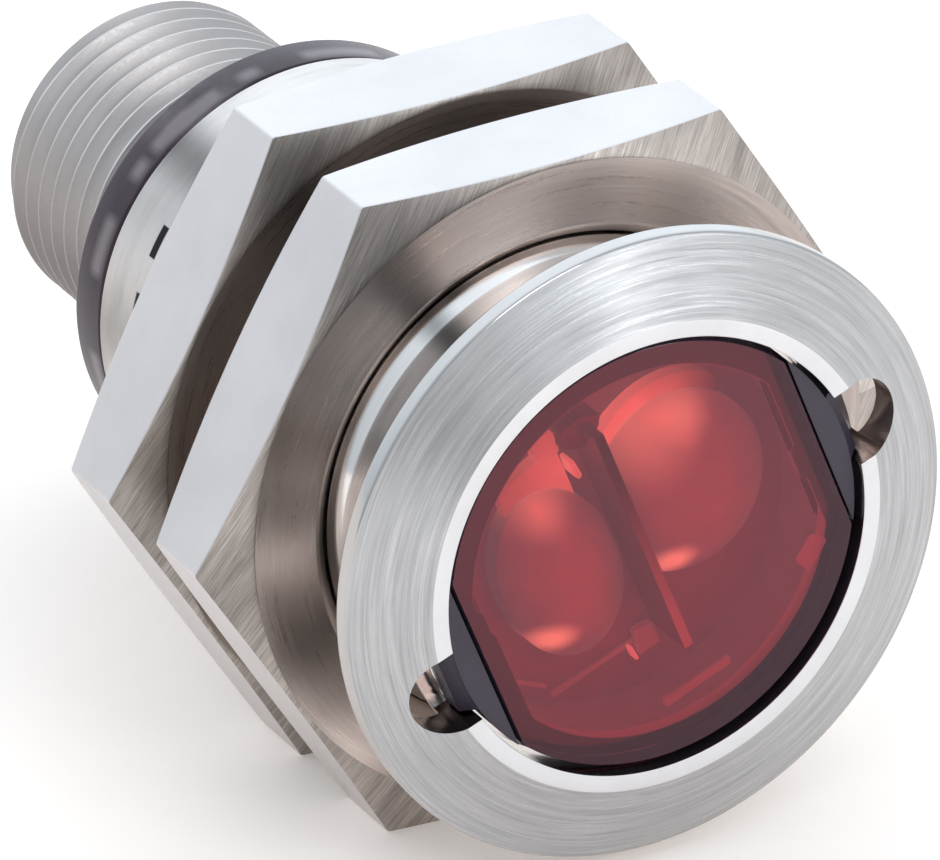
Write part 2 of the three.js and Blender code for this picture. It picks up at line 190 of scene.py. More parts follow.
def grid_faces(rows, columns, close=True, wrap=True):
    """Faces of a grid of points; close joins the last row to the first, wrap does so for the columns."""
    index = np.arange(rows * columns).reshape(rows, columns)
    right = np.roll(index, -1, axis=1)
    quads = np.stack([index, right, np.roll(right, -1, axis=0), np.roll(index, -1, axis=0)], -1)
    quads = quads if close else quads[:-1]
    return (quads if wrap else quads[:, :-1]).reshape(-1, 4).tolist()


def turned(name, rows, body="sensor", sharp=SMOOTH_BELOW, wrap=True):
    """A piece from rows of points round the axis; the last row joins the first."""
    return mesh_object(name, rows, grid_faces(*rows.shape[:2], wrap=wrap), body, sharp)


def lathe(name, points, columns):
    return turned(name, round_rows(fillet(points), columns), wrap=False)


def rounded_outline(corners, size, flat_steps, corner_steps=5):
    """A closed outline in the XZ plane with rounded corners and evenly divided sides."""
    out = []
    count = len(corners)
    for i in range(count):
        here = np.array(corners[i])
        before, after = np.array(corners[i - 1]) - here, np.array(corners[(i + 1) % count]) - here
        start = here + before / np.linalg.norm(before) * size
        end = here + after / np.linalg.norm(after) * size
        for t in np.linspace(0, 1, corner_steps + 1):
            out.append((1 - t) ** 2 * start + 2 * t * (1 - t) * here + t * t * end)
        far = here + after - after / np.linalg.norm(after) * size
        for t in np.linspace(0, 1, flat_steps + 1)[1:-1]:
            out.append(end + (far - end) * t)
    return np.array(out)


def slab(name, outline, front, back, edge):
    """A plate of any convex outline, turned with the lenses, with softened edges and closed faces."""
    middle = outline.mean(0)
    reach = np.linalg.norm(outline - middle, axis=1, keepdims=True)
    inset = lambda size: middle + (outline - middle) * (1 - size / reach)
    third = edge * 0.3
    layers = [(0 * outline + middle, front), (inset(edge), front), (inset(third), front + third),
              (outline, front + edge), (outline, back - edge), (inset(third), back - third),
              (inset(edge), back), (0 * outline + middle, back)]
    rows = np.array([metres(p[:, 0], d + 0 * p[:, 0], p[:, 1], TURN) for p, d in layers])
    return mesh_object(name, rows, grid_faces(*rows.shape[:2], close=False))


def small_outline(corners, size=0.05):
    """The outline of a small moulding, its corners hardly rounded."""
    return rounded_outline(corners, size, 2, 3)


def join(name, pieces):
    """One object from several meshes."""
    bm = bmesh.new()
    for piece in pieces:
        bm.from_mesh(piece.data)
    mesh = bpy.data.meshes.new(name)
    bm.to_mesh(mesh)
    bm.free()
    for piece in pieces:
        bpy.data.objects.remove(piece)
    return placed(name, mesh, "sensor")


def carve(obj, cutter):
    """Cuts one mesh out of another and keeps the result in the mesh."""
    obj.modifiers.clear()
    modifier = obj.modifiers.new("cut", "BOOLEAN")
    modifier.operation = "DIFFERENCE"
    modifier.solver = "EXACT"
    modifier.object = cutter
    depsgraph = bpy.context.evaluated_depsgraph_get()
    carved = bpy.data.meshes.new_from_object(obj.evaluated_get(depsgraph))
    obj.modifiers.remove(modifier)
    obj.data = carved
    bpy.data.objects.remove(cutter)
    tidy(carved, SMOOTH_BELOW)


# ---------------------------------------------------------------- material helpers
GROOVE_DEPTH = 0.03 * MM
GRAIN_HEIGHT = 0.02 * MM


class Nodes:
    """A material's node tree with short names for what is used here."""

    def __init__(self, name):
        self.material = bpy.data.materials.new(name)
        self.material.use_nodes = True
        self.tree = self.material.node_tree
        self.tree.nodes.clear()
        self.output = self.tree.nodes.new("ShaderNodeOutputMaterial")

    def link(self, source, target):
        self.tree.links.new(source, target)

    def put(self, socket, value):
        if isinstance(value, bpy.types.NodeSocket):
            self.link(value, socket)
        else:
            socket.default_value = value

    def node(self, kind, **inputs):
        node = self.tree.nodes.new(kind)
        for key, value in inputs.items():
            socket = int(key[1:]) if key[0] == "_" else key.replace("_", " ")
            self.put(node.inputs[socket], value)
        return node

    def math(self, operation, a, b=0.0, clamp=False):
        node = self.node("ShaderNodeMath", _0=a, _1=b)
        node.operation = operation
        node.use_clamp = clamp
        return node.outputs[0]

    def position(self):
        return self.node("ShaderNodeTexCoord").outputs["Object"]

    def parts(self, vector):
        node = self.node("ShaderNodeSeparateXYZ", _0=vector)
        return node.outputs

    def combine(self, x, y, z):
        return self.node("ShaderNodeCombineXYZ", _0=x, _1=y, _2=z).outputs[0]

    def noise(self, vector, scale, detail=4.0, rough=0.6):
        node = self.node("ShaderNodeTexNoise", Vector=vector, Scale=scale, Detail=detail, Roughness=rough)
        return node.outputs[0]

    def ramp(self, value, low, high, out_low=0.0, out_high=1.0, smooth=False):
        node = self.node("ShaderNodeMapRange", _0=value, _1=low, _2=high, _3=out_low, _4=out_high)
        node.interpolation_type = "SMOOTHSTEP" if smooth else "LINEAR"
        return node.outputs[0]

    def mix(self, factor, a, b):
        node = self.node("ShaderNodeMix")
        node.data_type = "RGBA"
        self.put(node.inputs[0], factor)
        self.put(node.inputs[6], a)
        self.put(node.inputs[7], b)
        return node.outputs[2]

    def bump(self, height, strength, distance):
        node = self.node("ShaderNodeBump", Strength=strength, Distance=distance, Height=height)
        return node.outputs[0]

    def principled(self, **inputs):
        node = self.node("ShaderNodeBsdfPrincipled", **inputs)
        self.link(node.outputs[0], self.output.inputs[0])
        return node


def rgb(r, g, b):
    return (r, g, b, 1.0)


def round_place(n):
    """The sensor's axis runs along Y: radius in mm, cosine and sine of the angle, depth in mm."""
    x, y, z = n.parts(n.position())
    x, z = n.math("MULTIPLY", x, 1 / MM), n.math("MULTIPLY", z, 1 / MM)
    depth = n.math("MULTIPLY", n.math("SUBTRACT", y, FRONT_Y), 1 / MM)
    radius = n.math("SQRT", n.math("ADD", n.math("MULTIPLY", x, x), n.math("MULTIPLY", z, z)))
    return radius, n.math("DIVIDE", x, radius), n.math("DIVIDE", z, radius), depth


def brushed_round(name, colour, rough, grain, aniso, along=2.2, bump=0.25, tint=0.12,
                  fans=(), twist=0.0):
    """Metal turned or brushed round the axis, with fans of painted highlight and painted shade."""
    n = Nodes(name)
    radius, c, s, depth = round_place(n)
    across = n.math("MULTIPLY", n.math("ADD", radius, depth), grain)
    a, b = n.math("MULTIPLY", c, along), n.math("MULTIPLY", s, along)
    fine = n.noise(n.combine(a, b, across), 1.0, 6.0, 0.7)
    streak = n.noise(n.combine(a, b, n.math("MULTIPLY", across, 0.35)), 1.0, 3.0)
    cloud = n.noise(n.position(), 260.0, 3.0)
    mixed = n.math("ADD", n.math("MULTIPLY", fine, 0.6), n.math("MULTIPLY", streak, 0.4))
    shade = n.math("MULTIPLY", n.ramp(mixed, 0.35, 0.65, 1 - tint, 1), n.ramp(cloud, 0.3, 0.7, 0.96, 1))
    shade, colour = with_painted_fans(n, shade, colour, degrees_round(n, c, s), fans)
    shader = n.principled(Base_Color=n.mix(shade, rgb(0, 0, 0), rgb(*colour)), Metallic=1.0)
    n.link(n.ramp(mixed, 0.35, 0.65, rough * 1.3, rough * 0.75), shader.inputs["Roughness"])
    shader.inputs["Anisotropic"].default_value = aniso
    shader.inputs["Anisotropic Rotation"].default_value = twist
    tangent = n.node("ShaderNodeTangent")
    tangent.direction_type = "RADIAL"
    tangent.axis = "Y"
    n.link(tangent.outputs[0], shader.inputs["Tangent"])
    n.link(n.bump(mixed, bump, GROOVE_DEPTH), shader.inputs["Normal"])
    return n


def with_painted_fans(n, shade, colour, angle, fans):
    """The shade with soft fans of painted highlight and painted shade, each (middle angle, half width, gain),
    and the colour of the palest fan.
    """
    if not fans:
        return shade, colour
    peak = max(1.0, *(1 + gain for middle, half, gain in fans))
    full = n.math("MODULO", n.math("ADD", angle, 360.0), 360.0)
    level = 1.0
    for middle, half, gain in fans:
        away = n.math("ABSOLUTE", n.math("SUBTRACT", full, middle))
        level = n.math("ADD", level, n.ramp(away, half, 0.0, 0.0, gain, smooth=True))
    scaled = n.math("MULTIPLY", n.math("MULTIPLY", shade, level), 1 / peak, clamp=True)
    return scaled, [min(1.0, v * peak) for v in colour]


def head_place(n):
    """Right and up in millimetres, in the frame that is turned with the lenses."""
    x, y, z = n.parts(n.position())
    c, s = math.cos(TURN) / MM, math.sin(TURN) / MM
    right = n.math("ADD", n.math("MULTIPLY", x, c), n.math("MULTIPLY", z, s))
    up = n.math("SUBTRACT", n.math("MULTIPLY", z, c), n.math("MULTIPLY", x, s))
    return right, up


def soft_spot(n, right, up, centre, reach, lean=0.0):
    """1 at the centre, falling smoothly to 0 at the reach, which is (across, up) before leaning."""
    a = n.math("SUBTRACT", right, centre[0])
    b = n.math("SUBTRACT", up, centre[1])
    c, s = math.cos(lean), math.sin(lean)
    along = n.math("ADD", n.math("MULTIPLY", a, c / reach[0]), n.math("MULTIPLY", b, s / reach[0]))
    over = n.math("SUBTRACT", n.math("MULTIPLY", b, c / reach[1]), n.math("MULTIPLY", a, s / reach[1]))
    far = n.math("SQRT", n.math("ADD", n.math("MULTIPLY", along, along), n.math("MULTIPLY", over, over)))
    return n.ramp(far, 1.0, 0.0, 0.0, 1.0, smooth=True)


def between(n, value, low, high, soft):
    """1 between low and high, with soft ends."""
    return n.math("MULTIPLY", n.ramp(value, low - soft, low + soft), n.ramp(value, high + soft, high - soft))


def degrees_round(n, c, s):
    return n.math("MULTIPLY", n.math("ARCTAN2", s, c), 180 / math.pi)


def satin_metal(name, colour, rough, fans=()):
    """Fine matt metal with a slight grain and clouding, and fans of painted highlight and painted shade round
    the axis.
    """
    n = Nodes(name)
    grain = n.noise(n.position(), 9000.0, 4.0, 0.7)
    cloud = n.noise(n.position(), 220.0, 4.0)
    radius, c, s, depth = round_place(n)
    shade, colour = with_painted_fans(n, n.ramp(cloud, 0.3, 0.7, 0.9, 1.0), colour, degrees_round(n, c, s), fans)
    shader = n.principled(Base_Color=n.mix(shade, rgb(0, 0, 0), rgb(*colour)), Metallic=1.0)
    n.link(n.ramp(grain, 0.3, 0.7, rough * 0.85, rough * 1.15), shader.inputs["Roughness"])
    n.link(n.bump(grain, 0.2, GRAIN_HEIGHT), shader.inputs["Normal"])
    return n


def plastic(name, colour, rough, bump=0.15):
    """Moulded plastic: fine grain and a little variation."""
    n = Nodes(name)
    fine = n.noise(n.position(), 6000.0, 3.0)
    cloud = n.noise(n.position(), 300.0, 3.0)
    light = rgb(*[min(1, v * 1.3) for v in colour])
    shader = n.principled(Base_Color=n.mix(n.ramp(cloud, 0.3, 0.7), rgb(*colour), light))
    n.link(n.ramp(fine, 0.3, 0.7, rough * 0.85, rough * 1.15), shader.inputs["Roughness"])
    n.link(n.bump(fine, bump, GRAIN_HEIGHT), shader.inputs["Normal"])
    return n


# ---------------------------------------------------------------- barrel with its flange
# Outlines are lists of (radius, depth, corner size).
BARREL_COLUMNS = 288
PITCH = 1.0
BORE_R, FACE_R, FLANGE_R, HUB_R = 8.06, 8.65, 11.52, 8.9
CONE_BACK, FLANGE_BACK, HUB_BACK = 0.88, 1.56, 2.2
NECK_R, SHOULDER_R, CREST_R, THREAD_DEPTH = 8.42, 8.95, 8.97, 0.6
NECK_SLOPE = ((NECK_R, 5.3, 0.1), (8.6, 6.15, 0.2), (SHOULDER_R, 6.8, 0.1))
THREAD_START, THREAD_END, THREAD_ROOT = 7.3, 20.9, 8.4
COLLAR_R, TUBE_BORE = 8.49, 7.55
BARREL_END = edges("flanged_barrel")[1]
NOTCH_HALF = 1.5
NOTCH_R = 8.5


def flange():
    outline = [(BORE_R, 0, 0.05), (FACE_R, 0, 0.06), (FLANGE_R - 0.04, CONE_BACK, 0.06),
               (FLANGE_R, CONE_BACK + 0.08, 0.05), (FLANGE_R, FLANGE_BACK - 0.06, 0.07),
               (FLANGE_R - 0.08, FLANGE_BACK, 0.03), (HUB_R, FLANGE_BACK, 0.1), (HUB_R, HUB_BACK, 0),
               (BORE_R + 0.14, HUB_BACK, 0), (BORE_R, HUB_BACK + 0.7, 0)]
    return lathe("flange", outline, BARREL_COLUMNS)


def notch_cutter(side):
    steps = np.linspace(-math.pi / 2, math.pi / 2, 25)
    tip = [(NOTCH_R + NOTCH_HALF * math.cos(t), NOTCH_HALF * math.sin(t)) for t in steps]
    inside = BORE_R - 1.06
    points = np.array([(inside, -NOTCH_HALF), *tip, (inside, NOTCH_HALF)]) * side
    return slab(f"notch_{side}", points, -1.0, FLANGE_BACK + 0.44, 0.001)


def barrel():
    """The flange with its two notches, the neck, the long thread and the collar."""
    head = flange()
    for side in (1, -1):
        carve(head, notch_cutter(side))
    tube = [(TUBE_BORE, 1.7, 0), (NECK_R, 1.7, 0.05), *NECK_SLOPE, (SHOULDER_R, THREAD_START - 0.2, 0.1),
            (SHOULDER_R - 0.07, THREAD_START - 0.1, 0.05), (THREAD_ROOT, THREAD_START, 0)]
    collar = [(THREAD_ROOT, THREAD_END, 0), (COLLAR_R, THREAD_END + 0.1, 0.2),
              (COLLAR_R, BARREL_END - 0.02, 0.08),
              (COLLAR_R - 0.19, BARREL_END, 0.02), (TUBE_BORE, BARREL_END, 0)]
    head_rows = round_rows(fillet(tube)[:-1], BARREL_COLUMNS)
    screw = thread_rows(THREAD_START, THREAD_END, CREST_R, THREAD_DEPTH, PITCH, BARREL_COLUMNS, 0.7)
    tail_rows = round_rows(fillet(collar)[1:], BARREL_COLUMNS)
    body = turned("tube", np.concatenate([head_rows, screw, tail_rows]), wrap=False)
    piece = join("barrel_with_flange", [head, body])
    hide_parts("flanged_barrel")
    return piece


# ---------------------------------------------------------------- hexagon nuts
NUT_SLOPE = 0.302                  # how steeply the corners fall away
NUT_CORNER = 0.1
NUT_RINGS = (11.84, 11.92, 12.1, 12.6, 13.1)
NUT_SMOOTH_BELOW = 14.0
# The countersink and the flat face: (radius, depth below the face).
COUNTERSINK = ((9.03, 0.43), (9.2, 0.26), (9.4, 0.05), (9.46, 0.02), (9.52, 0), (10.2, 0), (11, 0))


def nut(name, node, body):
    """A hexagon nut with rounded corners that fall away from both faces, countersunk on both sides."""
    front, back, flat = edges(node)
    corner = flat / math.cos(math.pi / 6)
    corners = [(corner * math.cos(i * math.pi / 3), corner * math.sin(i * math.pi / 3)) for i in range(6)]
    outline = rounded_outline(corners, NUT_CORNER, 28, 8)
    reach = np.linalg.norm(outline, axis=1)
    c, s = outline[:, 0] / reach, outline[:, 1] / reach

    def fall(r):
        return np.maximum(0, r - flat + 0.12) * NUT_SLOPE

    def row(r, d):
        return metres(r * c, d + 0 * r, r * s)

    even = np.ones_like(reach)
    half = [(r * even, d * even) for r, d in COUNTERSINK]
    for r in NUT_RINGS:
        limited = np.minimum(r, reach - 0.06)
        half.append((limited, fall(limited)))
    for inset, drop in ((0.06, 0.0), (0.02, 0.015), (0.0, 0.06)):
        half.append((reach - inset, fall(reach - 0.06) + drop))
    rows = [row(r, front + d) for r, d in half]
    rows += [row(r, back - d) for r, d in reversed(half)]
    piece = turned(name, np.array(rows), body, NUT_SMOOTH_BELOW)
    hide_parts(node)
    return piece


# ---------------------------------------------------------------- connector end
SHELL_COLUMNS = 192
SHELL_BORE, SHELL_ROOT, SHELL_CREST = 4.35, 5.35, 5.93


def connector():
    """The connector's threaded shell: a smooth stub, the thread and a rounded mouth."""
    front, back, radius = edges("connector_shell")
    stub = front + 6.4
    head = [(SHELL_BORE, front, 0), (radius, front, 0.1), (radius, stub - 0.15, 0.1),
            (radius - 0.15, stub, 0.05), (SHELL_ROOT, stub, 0.1), (SHELL_ROOT, stub + 0.8, 0)]
    tail = [(SHELL_ROOT + 0.05, back - 0.18, 0.1), (SHELL_ROOT - 0.15, back, 0.08),
            (SHELL_BORE + 0.15, back, 0.1), (SHELL_BORE, back - 0.2, 0.05)]
    first = round_rows(fillet(head), SHELL_COLUMNS)
    screw = thread_rows(stub + 0.9, back - 0.3, SHELL_CREST, 0.58, PITCH, SHELL_COLUMNS, 0.55)
    last = round_rows(fillet(tail), SHELL_COLUMNS)
    piece = turned("m12_thread_shell", np.concatenate([first, screw, last]), wrap=False)
    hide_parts("connector_shell")
    return piece


def light_ring():
    front, back, radius = edges("indicator_ring")
    inner, sleeve, gap = 6.4, 7.45, BARREL_END + 0.15
    outline = [(inner, front, 0.05), (sleeve, front, 0.1), (sleeve, gap, 0.02), (radius - 0.12, gap, 0.06),
               (radius, gap + 0.12, 0.05), (radius, back - 0.17, 0.1), (radius - 0.18, back, 0.08),
               (inner, back, 0.1)]
    piece = lathe("light_ring", outline, 240)
    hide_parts("indicator_ring")
    return piece


# ---------------------------------------------------------------- optics behind the window
WINDOW_R = 7.8
WINDOW_FLAT = 6.9
LENS_EDGE = 2.6                    # how deep the rim of both domes lies
LENS_ROWS, LENS_COLUMNS = 25, 96


def flatted(radius, flat, steps=48):
    half = math.acos(flat / radius)
    top = np.linspace(half, math.pi - half, steps)
    angles = np.concatenate([top, top + math.pi])
    return np.stack([radius * np.cos(angles), radius * np.sin(angles)], -1)


def window():
    front, back = edges("front_window")[:2]
    piece = slab("red_screen", flatted(WINDOW_R, WINDOW_FLAT), front, back, 0.05)
    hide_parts("front_window")
    return piece


def lens(name, node, centre, radius, squash, sides, up):
    """A domed lens, narrower than high, cut flat at its sides."""
    apex, back = edges(node)[:2]
    sag = LENS_EDGE - apex
    sphere = (radius * radius + sag * sag) / (2 * sag)
    angle = np.linspace(0, 2 * math.pi, LENS_COLUMNS, endpoint=False)

    def outline(r):
        return np.clip(centre + squash * r * np.cos(angle), *sides), up + r * np.sin(angle)

    rows = []
    for r in np.linspace(0, radius, LENS_ROWS):
        a, b = outline(r)
        real = np.hypot((a - centre) / squash, b - up)
        rows.append(metres(a, apex + sphere - np.sqrt(sphere ** 2 - real ** 2), b, TURN))
    a, b = outline(radius)
    rows.append(metres(a, back + 0 * a, b, TURN))
    rows.append(metres(0 * a + centre, back + 0 * a, 0 * b + up, TURN))
    rows = np.array(rows)
    piece = mesh_object(name, rows, grid_faces(*rows.shape[:2], close=False), sharp=40.0)
    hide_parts(node)
    return piece


def optics():
    """The two domes and the thin wall between them."""
    left = lens("emitter_dome", "emitter_lens", -2.6, 3.4, squash=0.67, sides=(-4.95, -0.45), up=-0.2)
    right = lens("receiver_dome", "receiver_lens", 2.6, 3.45, squash=0.93, sides=(0.45, 6.1), up=0.25)
    front, back = edges("light_barrier")[:2]
    wall = slab("divider", small_outline(((-0.05, -4.8), (0.31, -4.8), (0.31, 4.75), (-0.05, 4.75))),
                front, back, 0.04)
    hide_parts("light_barrier")
    return left, right, wall


# Mouldings round the lenses, which give off painted light: name, corners of (right, up), front, back, and how
# much painted light they give off.
MOULDINGS = (
    ("shelf_left", ((-3.55, 2.0), (-0.95, 2.0), (-0.95, 4.3), (-3.2, 3.95), (-3.5, 3.8)),
     2.75, 3.3, "bright"),
    ("shelf_block", ((-1.75, 4.1), (-0.9, 4.1), (-0.85, 4.9), (-1.3, 5.1), (-1.8, 5.0)), 2.6, 3.3, "bright"),
    ("sliver", ((-0.8, 2.9), (-0.68, 2.7), (-0.52, 2.8), (-0.6, 3.5), (-0.76, 3.5)), 2.5, 3.3, "bright"),
    ("rib_low", ((-4.4, -5.0), (-0.4, -5.0), (-0.4, -4.8), (-4.4, -4.8)), 3.3, 3.45, "dim"),
    ("stroke_low", ((-5.5, -3.6), (-4.5, -4.5), (-4.4, -4.4), (-5.4, -3.45)), 3.3, 3.45, "dim"),
    ("pad_low", ((-1.0, -5.45), (-0.15, -5.4), (-0.15, -4.5), (-0.9, -4.4)), 3.1, 3.45, "dim"),
    ("pin_low", ((-1.25, -5.45), (-1.1, -5.45), (-1.17, -4.85), (-1.3, -4.85)), 3.0, 3.45, "lit"),
    ("bar_low", ((-1.4, -6.7), (1.4, -6.65), (1.4, -6.35), (-1.4, -6.35)), 1.5, 1.7, "dim"),
    ("crest", ((-0.95, 4.45), (-0.55, 4.1), (0.1, 3.95), (0.62, 4.4), (0.8, 4.75), (0.1, 5.1), (-0.7, 5.0)),
     2.2, 3.3, "dark"),
)
CORNER_PAD = ((4.75, -4.2), (5.1, -4.95), (6.15, -4.2), (5.65, -3.6))
# A glowing sheet for the crescent of painted highlight above the right lens.
CRESCENT = ((5.3, 2.9), (5.1, 3.3), (4.66, 3.7), (4.2, 3.97), (3.66, 4.17), (3.15, 4.26), (2.66, 4.28),
            (2.15, 4.22), (1.66, 4.1), (1.2, 3.93), (0.81, 3.72), (0.6, 2.0), (5.0, 2.0))


def mouldings():
    """The small parts round the lenses, each with how much painted light it gives off."""
    pieces = []
    for name, corners, front, back, kind in MOULDINGS + (("crescent", CRESCENT, 2.7, 3.3, "crescent"),):
        piece = slab(name, small_outline(corners), front, back, 0.05)
        pieces.append((piece, kind))
    return pieces


MASK_REACH = 7.75
MASK_FRONT, MASK_BACK = 1.12, 1.18
MASK_MIDDLE, MASK_OPENING = (0.19, -0.45), 6.9
RIM_R = 6.9
RIM_BACK, RIM_END = 1.16, 1.39     # behind its flat front, and at the end of its short tube
MASK_STEPS = 240


def optics_mask():
    """The dark frame behind the window, with stepped sides, and the rim inside it, which glows with painted
    light.
    """
    angle = np.linspace(0, 2 * math.pi, MASK_STEPS, endpoint=False)
    c, s = np.cos(angle), np.sin(angle)
    outer = np.minimum(MASK_REACH, (WINDOW_FLAT - 0.06) / np.maximum(np.abs(c), 1e-6))
    a, b = MASK_MIDDLE[0] + MASK_OPENING * c, MASK_MIDDLE[1] + MASK_OPENING * s
    right = np.where((b < -0.1) & (b > -1.5), 6.12, 6.34)
    left = np.where(b > 1.5, -6.25, np.where(b > 0.3, -6.1, -6.0))
    a = np.clip(a, left, right)
    fit = np.minimum(1, (outer - 0.1) / np.hypot(a, b))
    a, b = a * fit, b * fit

    def ring(x, z, d):
        return metres(x, d + 0 * x, z, TURN)

    far = (outer * c, outer * s)
    mask = turned("optics_mask", np.array([
        ring(*far, MASK_FRONT), ring(a, b, MASK_FRONT), ring(a, b, MASK_BACK), ring(*far, MASK_BACK)]))
    inner = np.minimum(RIM_R, np.hypot(a, b) - 0.03) / np.hypot(a, b)
    behind = inner * 1.004
    rim = turned("optics_rim", np.array([
        ring(a, b, MASK_FRONT), ring(a * inner, b * inner, MASK_FRONT), ring(a * inner, b * inner, RIM_END),
        ring(a * behind, b * behind, RIM_END), ring(a * behind, b * behind, RIM_BACK), ring(a, b, RIM_BACK)]))
    return mask, rim


def corner_pad():
    """A small block right behind the window, at its lower right, that glows with painted light."""
    piece = slab("corner_pad", small_outline(CORNER_PAD, 0.15), 1.104, 1.118, 0.004)
    return piece


# ---------------------------------------------------------------- special finishes
# Painted highlights and painted shade: paler and darker fans round the turned faces, where highlights and
# shade fall; middle angle and half width in degrees, and gain.
CONE_FANS = ((95, 14, 0.28), (138, 24, -0.3), (56, 26, -0.1), (120, 9, -0.08))
NUT_FANS = ((99, 21, 0.85), (121, 8, -0.45), (134, 12, 0.15), (156, 9, -0.3), (178, 10, 0.35),
            (198, 14, -0.45), (74, 15, 0.45), (224, 13, 0.6))
REAR_NUT_FANS = ((98, 60, -0.55), (198, 18, -0.4))
SINK_FANS = ((90, 16, 0.5), (115, 9, -0.7), (140, 13, 0.5), (182, 24, -0.55))
CHAMFER_FANS = ((120, 20, -0.4), (4, 16, 0.5), (185, 18, -0.3))
NECK_FANS = ((123, 7, -0.55), (180, 22, -0.2))
COLLAR_FANS = ((127, 13, -0.68), (140, 14, -0.2), (175, 22, -0.4))
SHELL_FANS = ((195, 62, -0.42), (140, 24, 0.18))
# The two printed marks on the collar: where they start and end, in degrees and in depth.
MARKS = ((143.8, 152.1), (161.3, 169.6))
MARK_DEPTHS = (21.95, 22.34)
# Painted light: paler colour where light comes through the smoky ring; the pattern repeats three times round
# it.
REPEAT = 120.0
FIRST = 60.0
GLOW_HAZE = (110, 126)
GLOW_WINDOWS = ((66.5, 87), (99.3, 104.5), (111, 131.5), (134.7, 140), (150.8, 165.5))
GLOW_DEPTHS = (25.1, 25.74)


def collar_finish():
    """Brushed like the barrel, with fans of painted shade and two short dark marks near the ring."""
    n = brushed_round("collar_metal", (0.62, 0.58, 0.56), rough=0.36, grain=4.0, aniso=0.3,
                      along=3.0, bump=0.12, fans=COLLAR_FANS)
    shader = next(x for x in n.tree.nodes if x.type == "BSDF_PRINCIPLED")
    colour = shader.inputs["Base Color"].links[0].from_socket
    radius, c, s, depth = round_place(n)
    angle = degrees_round(n, c, s)
    mark = 0.0
    for low, high in MARKS:
        mark = n.math("ADD", mark, between(n, angle, low, high, 0.15))
    mark = n.math("MULTIPLY", mark, between(n, depth, *MARK_DEPTHS, 0.02))
    n.link(n.mix(mark, colour, rgb(0.012, 0.008, 0.012)), shader.inputs["Base Color"])
    return n


def smoky_finish():
    """Smoky plastic with paler windows of painted light in the front half, where the light comes through, and
    a mottled band of painted light.
    """
    n = Nodes("smoky_plastic")
    radius, c, s, depth = round_place(n)
    turns = n.math("ADD", degrees_round(n, c, s), 360.0 - FIRST)
    angle = n.math("ADD", n.math("MODULO", turns, REPEAT), FIRST)
    pale = 0.0
    for low, high in GLOW_WINDOWS:
        pale = n.math("ADD", pale, between(n, angle, low, high, 1.4))
    pale = n.math("MULTIPLY", pale, between(n, depth, *GLOW_DEPTHS, 0.2))
    mottle = n.ramp(n.noise(n.position(), 500.0, 3.0), 0.3, 0.6)
    glow_haze = n.math("MULTIPLY", between(n, angle, *GLOW_HAZE, 7.0), mottle)
    pale = n.math("ADD", pale, n.math("MULTIPLY", glow_haze, 0.8), clamp=True)
    cloud = n.noise(n.position(), 420.0, 3.0)
    body = n.mix(n.ramp(cloud, 0.3, 0.7), rgb(0.036, 0.022, 0.03), rgb(0.06, 0.04, 0.05))
    shader = n.principled(Base_Color=n.mix(pale, body, rgb(0.19, 0.16, 0.17)), Roughness=0.28)
    shader.inputs["Specular IOR Level"].default_value = 0.22
    n.link(n.bump(cloud, 0.05, 0.00005), shader.inputs["Normal"])
    return n


def lens_finish(name, spots):
    """A moulded lens with painted light: soft bright spots of painted highlight given off as emission, on a
    pale body that glows a little.
    """
    n = Nodes(name)
    right, up = head_place(n)
    glow = 0.0
    for centre, reach, lean, strength in spots:
        glow = n.math("ADD", glow, n.math("MULTIPLY", soft_spot(n, right, up, centre, reach, lean), strength))
    cloud = n.noise(n.position(), 500.0, 2.0)
    base = n.mix(n.ramp(cloud, 0.3, 0.7), rgb(0.31, 0.28, 0.31), rgb(0.4, 0.36, 0.4))
    shader = n.principled(Base_Color=base, Roughness=0.22)
    shader.inputs["Emission Strength"].default_value = 1.0
    n.link(n.mix(glow, rgb(0.05, 0.16, 0.16), rgb(0.95, 1.2, 0.8)), shader.inputs["Emission Color"])
    return n


def glowing(name, colour, light, fade=None):
    """Clear moulding that glows with painted light, given off as emission in place of the light from the
    front; the painted light may fade away from a place.
    """
    n = Nodes(name)
    cloud = n.noise(n.position(), 900.0, 3.0)
    shade = n.ramp(cloud, 0.3, 0.7, 0.85, 1.0)
    if fade:
        right, up = head_place(n)
        shade = n.math("MULTIPLY", shade, soft_spot(n, right, up, *fade))
    n.principled(Base_Color=n.mix(shade, rgb(0, 0, 0), rgb(*colour)), Roughness=0.35,
                 Emission_Color=n.mix(shade, rgb(0, 0, 0), rgb(*light)), Emission_Strength=1.0)
    return n


def scratched(name, colour, rough, lean, fans=()):
    """Ground steel with fine straight scratches across it, and fans of painted highlight and painted shade
    round the axis.
    """
    n = Nodes(name)
    x, y, z = n.parts(n.position())
    c, s = math.cos(lean) / MM, math.sin(lean) / MM
    along = n.math("ADD", n.math("MULTIPLY", x, c), n.math("MULTIPLY", z, s))
    over = n.math("SUBTRACT", n.math("MULTIPLY", z, c), n.math("MULTIPLY", x, s))
    depth = n.math("MULTIPLY", y, 0.5 / MM)
    thin = n.combine(n.math("MULTIPLY", along, 0.5), n.math("MULTIPLY", over, 15.0), depth)
    broad = n.combine(n.math("MULTIPLY", along, 0.2), n.math("MULTIPLY", over, 1.2), depth)
    fine = n.noise(thin, 1.0, 6.0, 0.7)
    wide = n.noise(broad, 1.0, 3.0)
    shade = n.math("MULTIPLY", n.ramp(fine, 0.35, 0.65, 0.55, 1), n.ramp(wide, 0.35, 0.65, 0.72, 1))
    radius, c, s, depth = round_place(n)
    shade, colour = with_painted_fans(n, shade, colour, degrees_round(n, c, s), fans)
    shader = n.principled(Base_Color=n.mix(shade, rgb(0, 0, 0), rgb(*colour)), Metallic=1.0)
    n.link(n.ramp(fine, 0.3, 0.7, rough * 1.25, rough * 0.8), shader.inputs["Roughness"])
    n.link(n.bump(fine, 0.3, GROOVE_DEPTH), shader.inputs["Normal"])
    return n


